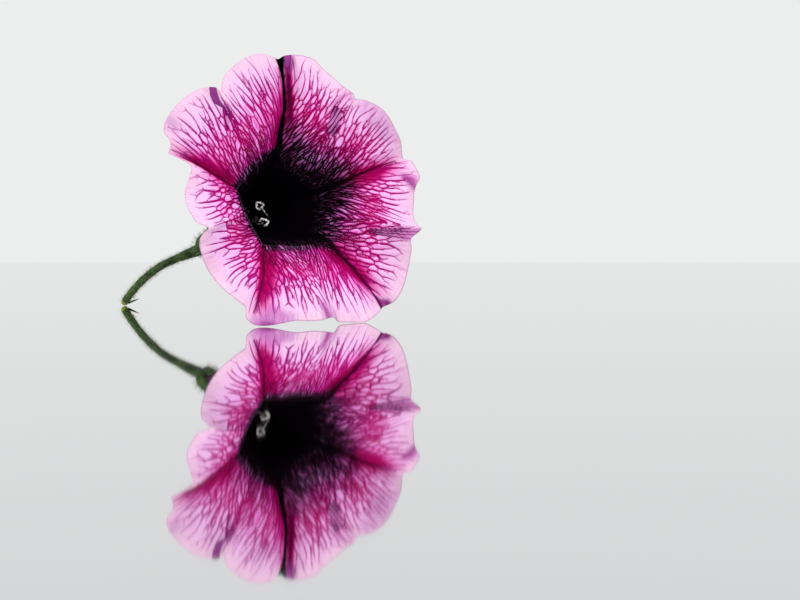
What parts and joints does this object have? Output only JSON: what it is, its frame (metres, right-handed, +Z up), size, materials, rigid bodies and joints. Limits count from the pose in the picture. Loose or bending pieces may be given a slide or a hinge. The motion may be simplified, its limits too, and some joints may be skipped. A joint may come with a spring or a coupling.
{
  "type": "petunia flower",
  "caption": "Cut petunia bloom lying down: a veined funnel of joined petals with folded lobes, hairy calyx, curved stalk, pistil and stamens.",
  "frame": {"origin": "middle of the bounding box at the surface that the bloom lies on", "axes": "+Z up; the open face of the bloom looks towards -Y, turned a little to +X and upward, and the stalk runs to -X and +Y"},
  "size_m": [0.0852, 0.0846, 0.0679],
  "materials": {
    "petal": "soft pale pink petal with magenta veins and a near-black throat",
    "calyx_green": "hairy dark green leaf tissue",
    "stalk_green": "hairy dark green stem skin",
    "pistil_green": "smooth pale green",
    "pollen": "powdery cream"
  },
  "bodies": {
    "root": {"corolla": "petal", "calyx": "calyx_green", "stalk": "stalk_green", "pistil": "pistil_green", "stamen_1": "pollen", "stamen_2": "pollen", "stamen_3": "pollen", "stamen_4": "pollen", "stamen_5": "pollen"}
  },
  "joints": []
}
